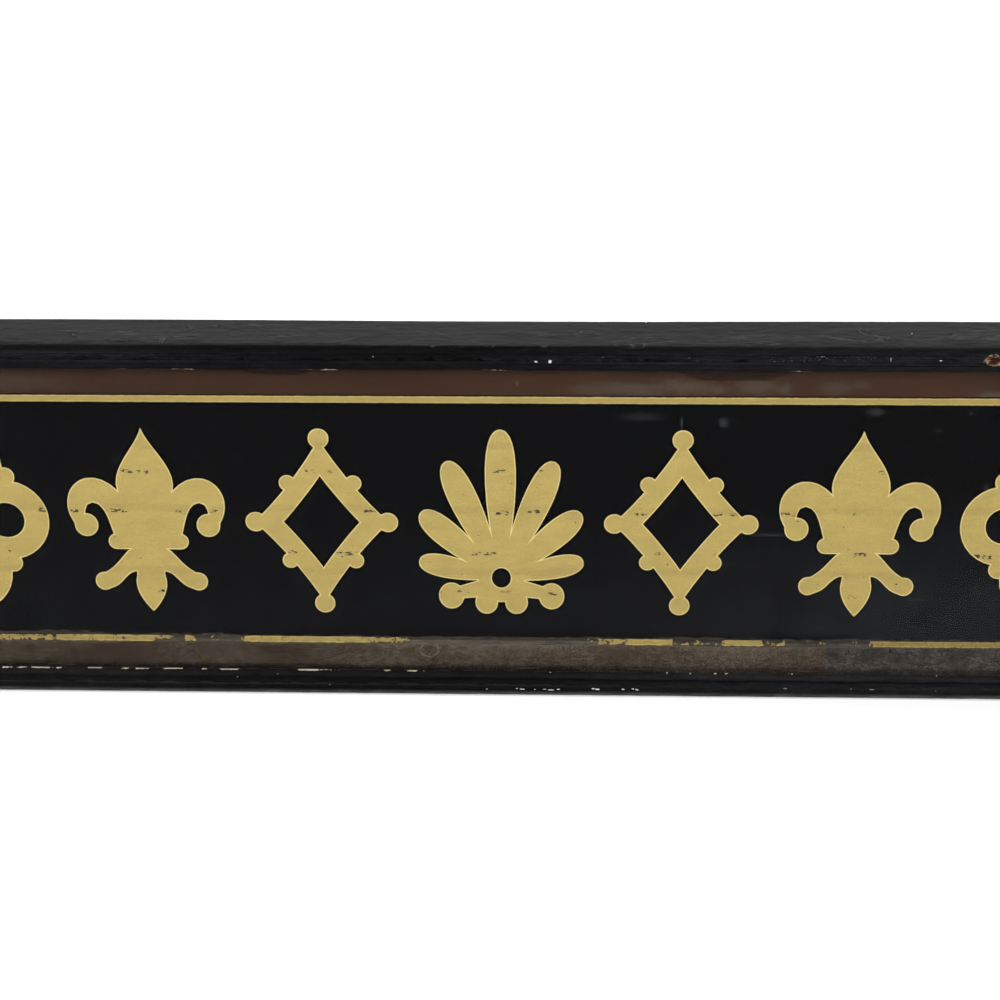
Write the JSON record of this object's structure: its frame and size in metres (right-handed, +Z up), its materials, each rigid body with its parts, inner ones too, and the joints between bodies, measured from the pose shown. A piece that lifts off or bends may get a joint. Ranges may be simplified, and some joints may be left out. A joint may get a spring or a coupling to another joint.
{
  "type": "fascia sign",
  "caption": "Long shop fascia sign: reverse gilded and painted plate glass with a row of ornaments, in a deep black painted wooden tray frame with a matched board back.",
  "frame": {"origin": "middle of the footprint, on the underside of the bottom board", "axes": "+X along the sign to the right as it is read, +Y from the gilded face towards the wall, +Z up"},
  "size_m": [3.1, 0.098, 0.432],
  "materials": {
    "black_paint": "old gloss paint, crazed and worn along the arrises",
    "putty": "dry linseed putty",
    "glass": "old plate glass, polished",
    "brown_paint": "paint seen through glass, hazed and stained",
    "gold_leaf": "matt leaf with a burnished outline",
    "black_ground": "japan black seen through glass",
    "paper": "brown backing paper",
    "bare_wood": "old unpainted pine",
    "hard_wood": "plain hardwood"
  },
  "bodies": {
    "root": {"top_board": "black_paint", "bottom_board": "black_paint", "left_end_board": "black_paint", "right_end_board": "black_paint", "top_moulding": "black_paint", "bottom_moulding": "black_paint", "left_moulding": "black_paint", "right_moulding": "black_paint", "top_putty": "putty", "bottom_putty": "putty", "left_putty": "putty", "right_putty": "putty", "glass_pane": "glass", "left_setting_block": "hard_wood", "right_setting_block": "hard_wood", "top_brown_border": "brown_paint", "bottom_brown_border": "brown_paint", "left_brown_border": "brown_paint", "right_brown_border": "brown_paint", "top_gilt_line": "gold_leaf", "bottom_gilt_line": "gold_leaf", "left_gilt_line": "gold_leaf", "right_gilt_line": "gold_leaf", "gilt_01_fleur": "gold_leaf", "gilt_02_rosette": "gold_leaf", "gilt_03_star": "gold_leaf", "gilt_04_drop": "gold_leaf", "gilt_05_quatrefoil": "gold_leaf", "gilt_06_fleur": "gold_leaf", "gilt_07_lozenge": "gold_leaf", "gilt_08_palmette": "gold_leaf", "gilt_09_lozenge": "gold_leaf", "gilt_10_fleur": "gold_leaf", "gilt_11_quatrefoil": "gold_leaf", "gilt_12_drop": "gold_leaf", "gilt_13_star": "gold_leaf", "gilt_14_rosette": "gold_leaf", "gilt_15_fleur": "gold_leaf", "black_ground": "black_ground", "backing_paper": "paper", "back_board_1": "bare_wood", "back_board_2": "bare_wood", "back_board_3": "bare_wood", "batten_1": "bare_wood", "batten_2": "bare_wood", "batten_3": "bare_wood", "batten_4": "bare_wood", "batten_5": "bare_wood", "top_left_corner_block": "bare_wood", "top_right_corner_block": "bare_wood", "bottom_left_corner_block": "bare_wood", "bottom_right_corner_block": "bare_wood"}
  },
  "joints": []
}
